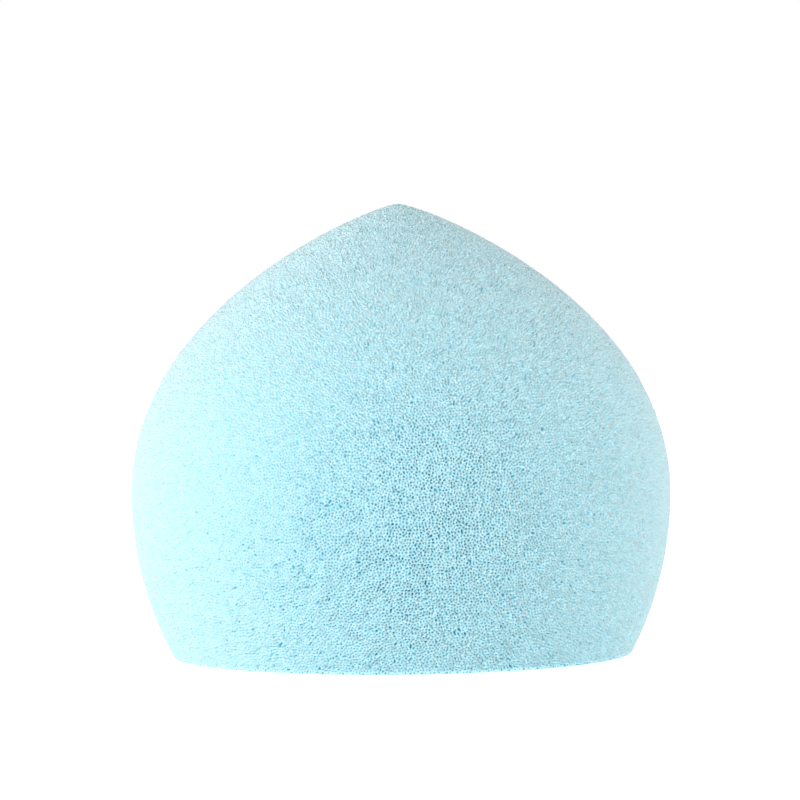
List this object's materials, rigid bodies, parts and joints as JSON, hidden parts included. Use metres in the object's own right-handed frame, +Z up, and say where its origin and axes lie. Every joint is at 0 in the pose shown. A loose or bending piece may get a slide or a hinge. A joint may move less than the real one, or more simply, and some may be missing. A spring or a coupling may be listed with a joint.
{
  "type": "makeup sponge",
  "caption": "Squat onion-dome makeup sponge of soft open-cell foam, with a blunt tip for small areas, rounded shoulders and a flat cut base.",
  "frame": {"origin": "centre of the flat base, on the surface that the sponge stands on", "axes": "+Z up along the axis of revolution, towards the tip; +X to the right of the pictured face, +Y away from it"},
  "size_m": [0.055, 0.055, 0.0459],
  "materials": {
    "foam": "matt pale aqua open-cell polyurethane foam with fine pores"
  },
  "bodies": {
    "root": {"foam_body": "foam"}
  },
  "joints": []
}
